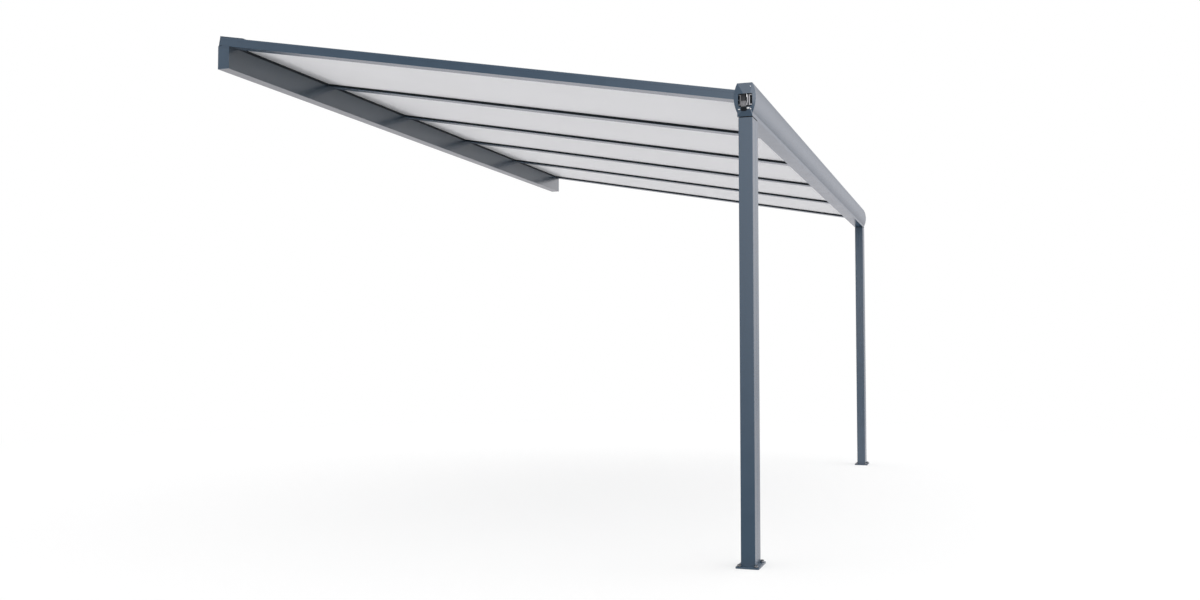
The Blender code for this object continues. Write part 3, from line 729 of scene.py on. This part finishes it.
class CARPORT_OT_end_fittings(bpy.types.Operator):
    """Black tab, screws, lugs and rubber strips at each end of the gutter; the lugs' bright zinc is
    painted highlight and the black rubber strips are painted shade
    """
    bl_idname = "carport.end_fittings"
    bl_label = "End fittings"

    def execute(self, context):
        for end in ENDS:
            self.add_tab(end)
            for count, spot in enumerate(CAP_SCREWS, start=1):
                self.add_screw(f"cap_screw_{end}_{count}", *on_cap(end, *spot))
            for count, lug in enumerate(CAP_LUGS, start=1):
                self.add_lug(f"cap_lug_{end}_{count}", end, *lug)
            self.add_shade_rubbers(end)
        return {"FINISHED"}

    def lie_on(self, end, depth, height, rise):
        """A spot on the cap, its normal, and the direction up the cap's face."""
        low, _ = on_cap(end, depth, height - rise)
        place, normal = on_cap(end, depth, height)
        upward = place - low
        return place, normal, upward / np.linalg.norm(upward)

    def add_tab(self, end):
        """A rounded slab with a ridge across it, on the cap's lower face under the opening."""
        place, normal, upward = self.lie_on(end, TAB_DEPTH, TAB_HEIGHT, TAB_TALL / 4)
        across = (0.0, ENDS[end], 0.0)
        tab = slab(TAB_WIDE, TAB_TALL, TAB_CORNER, TAB_THICKNESS, TAB_EDGE,
                   place - normal * TAB_SUNK, across, upward)
        ridge = slab(RIDGE_WIDE, RIDGE_TALL, RIDGE_CORNER, RIDGE_THICKNESS, RIDGE_EDGE,
                     place + normal * RIDGE_BASE + upward * RIDGE_RISE, across, upward)
        add_piece("cap_tab_" + end, *join_parts([tab, ridge]), material("rubber"), "black_rubber")

    def add_lug(self, name, end, depth, height, wide, tall):
        """A small steel plate with rounded ends that lies on the cap's lower face, in brightened
        zinc that is a painted highlight.
        """
        place, normal, upward = self.lie_on(end, depth, height, tall / 2)
        lug = slab(wide, tall, tall * 0.4, LUG_THICKNESS, LUG_EDGE, place - normal * LUG_SUNK,
                   (0.0, ENDS[end], 0.0), upward)
        add_piece(name, *lug, material("steel_lug"), "zinc_steel")

    def add_screw(self, name, place, normal):
        """A pan head with a round recess, square to the face it sits on."""
        profile = np.array(SCREW_OUTLINE) * sizes().screw_radius
        screw = turned(profile, SCREW_STEPS, place, normal)
        add_piece(name, *screw, material("steel"), "zinc_steel")

    def add_shade_rubbers(self, end):
        """A black rubber strip between the flanges of each clip, and a pad on top of it, painted
        shade for the dark inside of the clips.
        """
        side = ENDS[end]
        lip, under = cap_datum(end)
        start = outer_face("end_bracket_", end) - side * (CLIP_RUBBER_LONG + CLIP_RUBBER_INSET)
        for name, (depth, height, wide, tall) in CLIP_SHADE_RUBBERS.items():
            strip = slab(wide, tall, CLIP_RUBBER_CORNER, CLIP_RUBBER_LONG, CLIP_RUBBER_EDGE,
                         (start, lip + depth, under + height), (0.0, side, 0.0), (0.0, 0.0, 1.0))
            add_piece(f"clip_{name}_{end}", *strip, material("rubber"), "black_rubber")


class CARPORT_OT_gaskets(bpy.types.Operator):
    """Rubber strips beside the rafters' feet, under the panels, and a black wedge on the wall
    profile that is painted shade
    """
    bl_idname = "carport.gaskets"
    bl_label = "Gaskets"

    def execute(self, context):
        for bay in range(1, RAFTER_COUNT):
            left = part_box(f"rafter_{bay}")[1][0]
            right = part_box(f"rafter_{bay + 1}")[0][0]
            strips = [self.strip(left, 1), self.strip(right, -1)]
            add_piece(f"bay_gaskets_{bay}", *join_parts(strips), material("rubber"),
                      "black_rubber", SHARP_STRIP)
        self.add_shade_wedge()
        return {"FINISHED"}

    def strip(self, foot, side):
        """A flap beside a rafter's foot with a bead against the panel, carried down the slope.

        The bead is an arc of radius r round a centre r from the foot and r under the panel.
        """
        r, thick = sizes().gasket_radius, sizes().gasket_thickness
        gap, low = GASKET_GAP, GASKET_LOW
        top = PANEL_UNDERSIDE - gap
        angle = np.linspace(-math.pi / 2, math.pi / 2, BEAD_STEPS)
        bead = np.stack([gap + r + r * np.cos(angle), top - r + r * np.sin(angle)], -1)
        flap = np.array([(gap, top), (gap, low + thick / 2), (gap + thick / 2, low),
                         (gap + thick, low + thick / 2), (gap + thick, top - 2 * r)])
        outline = np.concatenate([flap, bead])[::side]
        path = [on_roof(foot, along, 0.0) for along in (GASKET_START, GASKET_END)]
        normal = (0.0, -math.sin(ROOF_PITCH), math.cos(ROOF_PITCH))
        return carried(outline, path, (side, 0.0, 0.0), normal)

    def add_shade_wedge(self):
        """A black four-cornered strip, painted shade for the gap under the rafters: its top slopes
        with the roof and its bottom is level.
        """
        low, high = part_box("wall_flashing")
        rise = math.tan(ROOF_PITCH)
        outline = [(y, ROOF_HEIGHT + y * rise - WEDGE_GAP) for y in (WEDGE_BACK, WEDGE_FRONT)]
        outline += [(WEDGE_FRONT, WEDGE_BOTTOM), (WEDGE_BACK, WEDGE_BOTTOM)]
        path = [(low[0] + WEDGE_END, 0.0, 0.0), (high[0] - WEDGE_END, 0.0, 0.0)]
        wedge = carried(outline, path, (0.0, 1.0, 0.0), (0.0, 0.0, 1.0))
        add_piece("wall_wedge", *wedge, material("rubber"), "black_rubber", SHARP_STRIP)


class CARPORT_OT_stage(bpy.types.Operator):
    """Pale floor, white surround, a soft lamp and the camera"""
    bl_idname = "carport.stage"
    bl_label = "Stage"

    def execute(self, context):
        self.add_floor(context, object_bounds()[0][2] - FLOOR_GAP)
        self.add_world(context)
        self.add_lamp(context)
        self.add_camera(context)
        context.scene.view_settings.view_transform = "Standard"
        return {"FINISHED"}

    def add_floor(self, context, height):
        """A wide disc that turns to plain white away from the carport."""
        angle = np.linspace(0.0, 2 * math.pi, FLOOR_STEPS, endpoint=False)
        rim = np.stack([FLOOR_RADIUS * np.cos(angle), FLOOR_RADIUS * np.sin(angle),
                        np.full(FLOOR_STEPS, height)], -1)
        mesh = bpy.data.meshes.new("floor")
        mesh.from_pydata(rim, [], [list(range(FLOOR_STEPS))])
        mesh.materials.append(self.floor_finish())
        floor = bpy.data.objects.new("floor", mesh)
        context.scene.collection.objects.link(floor)
        floor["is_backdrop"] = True

    def floor_finish(self):
        """Grey under the carport for the camera, darker as a source of light, stepped in gloss."""
        make = new_finish("floor")
        x, y, _ = make.axes(make.place())
        away = (x ** 2 + (y - FLOOR_MIDDLE) ** 2) ** 0.5
        matt = make.node("ShaderNodeBsdfDiffuse", None, {"Color": FLOOR_GREY})
        white = make.node("ShaderNodeEmission", None, {"Color": WHITE})
        bounce = make.node("ShaderNodeBsdfDiffuse", None, {"Color": FLOOR_BOUNCE})
        seen = make.blend(make.smooth(away, *FLOOR_FADE), matt, white)
        ground = make.blend(make.ray("Is Camera Ray"), bounce, seen)
        bright = make.steps(x, *FLOOR_ALONG) * make.steps(y, *FLOOR_ACROSS) \
            * make.smooth(x, *FLOOR_FAR)
        black = make.node("ShaderNodeEmission", None, {"Strength": 0.0})
        shiny = make.node("ShaderNodeEmission", None, {"Color": GLOSS_TINT})
        mirrored = make.blend(bright, black, shiny)
        return make.close(make.blend(make.ray("Is Glossy Ray"), ground, mirrored))

    def add_world(self, context):
        """Even light, seen as white by the camera, with soft bright and dim sides in reflections."""
        world = bpy.data.worlds.new("surround")
        context.scene.world = world
        make = Finish(world, "ShaderNodeOutputWorld")
        x, y, z = make.axes(make.node("ShaderNodeTexCoord", output="Generated"))
        sky = context.scene.carport_stage.sky
        white = self.background(make, WHITE, 1.0)
        strength = make.smooth(z, *SKY_RISE, sky * SKY_LOW, sky * SKY_HIGH)
        light = self.background(make, WHITE, strength)
        near_side = make.steps(y, *NEAR_SIDE) * make.smooth(z, *NEAR_SIDE_RISE)
        far_side = make.steps(y, *FAR_SIDE) * make.smooth(z, *FAR_SIDE_RISE) \
            * make.smooth(z, *FAR_SIDE_FALL)
        far = make.smooth(x, *SIDE_CHANGE)
        around = near_side * (1 - far) + far_side * far
        over = make.smooth(z, *NEAR_OVERHEAD) * (1 - far) + make.smooth(z, *FAR_OVERHEAD) * far
        soft = self.background(make, GLOSS_TINT, around * (1 - over) + over * OVERHEAD)
        plain = make.ray("Is Camera Ray") + make.ray("Is Transmission Ray")
        shader = make.blend(plain, light, white)
        make.close(make.blend(make.ray("Is Glossy Ray"), shader, soft))

    def background(self, make, colour, strength):
        """Light of a colour from all round."""
        return make.node("ShaderNodeBackground", None, {"Color": colour, "Strength": strength})

    def add_lamp(self, context):
        """A large soft lamp in front of the carport."""
        data = bpy.data.lights.new("front_lamp", "AREA")
        data.shape = "SQUARE"
        data.size = LAMP_SIZE
        data.energy = context.scene.carport_stage.key
        lamp = bpy.data.objects.new("front_lamp", data)
        lamp.location = LAMP_PLACE
        aim = Vector(LAMP_TARGET) - Vector(LAMP_PLACE)
        lamp.rotation_euler = aim.to_track_quat("-Z", "Y").to_euler()
        context.scene.collection.objects.link(lamp)

    def add_camera(self, context):
        """The photograph's camera."""
        data = bpy.data.cameras.new("camera")
        data.sensor_fit = "HORIZONTAL"
        data.sensor_width = SENSOR_WIDTH
        data.lens = CAMERA_LENS
        data.clip_end = CAMERA_REACH
        camera = bpy.data.objects.new("camera", data)
        camera.location = CAMERA_PLACE
        camera.rotation_euler = [math.radians(turn) for turn in CAMERA_TURN]
        context.scene.collection.objects.link(camera)
        context.scene.camera = camera


class CARPORT_PT_panel(bpy.types.Panel):
    """Sidebar panel that lists the sizes, the colours and the operators"""
    bl_idname = "CARPORT_PT_panel"
    bl_label = "Lean-to carport"
    bl_space_type = "VIEW_3D"
    bl_region_type = "UI"
    bl_category = "Carport"

    def draw(self, context):
        for group in ("carport_sizes", "carport_colours", "carport_stage"):
            box = self.layout.box()
            settings = getattr(context.scene, group)
            for name in settings.__annotations__:
                box.prop(settings, name)
        for operator in OPERATORS:
            self.layout.operator(operator.bl_idname)


GROUPS = (CarportSizes, CarportColours, CarportStage)
OPERATORS = (CARPORT_OT_frame_finishes, CARPORT_OT_anchors, CARPORT_OT_end_fittings,
             CARPORT_OT_gaskets, CARPORT_OT_stage)


def register():
    for made in GROUPS + OPERATORS + (CARPORT_PT_panel,):
        bpy.utils.register_class(made)
    scene = bpy.types.Scene
    scene.carport_sizes = bpy.props.PointerProperty(type=CarportSizes)
    scene.carport_colours = bpy.props.PointerProperty(type=CarportColours)
    scene.carport_stage = bpy.props.PointerProperty(type=CarportStage)


def unregister():
    scene = bpy.types.Scene
    del scene.carport_sizes, scene.carport_colours, scene.carport_stage
    for made in (CARPORT_PT_panel,) + OPERATORS[::-1] + GROUPS[::-1]:
        bpy.utils.unregister_class(made)


def main():
    register()
    bpy.ops.carport.frame_finishes()
    bpy.ops.carport.anchors()
    bpy.ops.carport.end_fittings()
    bpy.ops.carport.gaskets()
    bpy.ops.carport.stage()


if __name__ == "__main__":
    main()
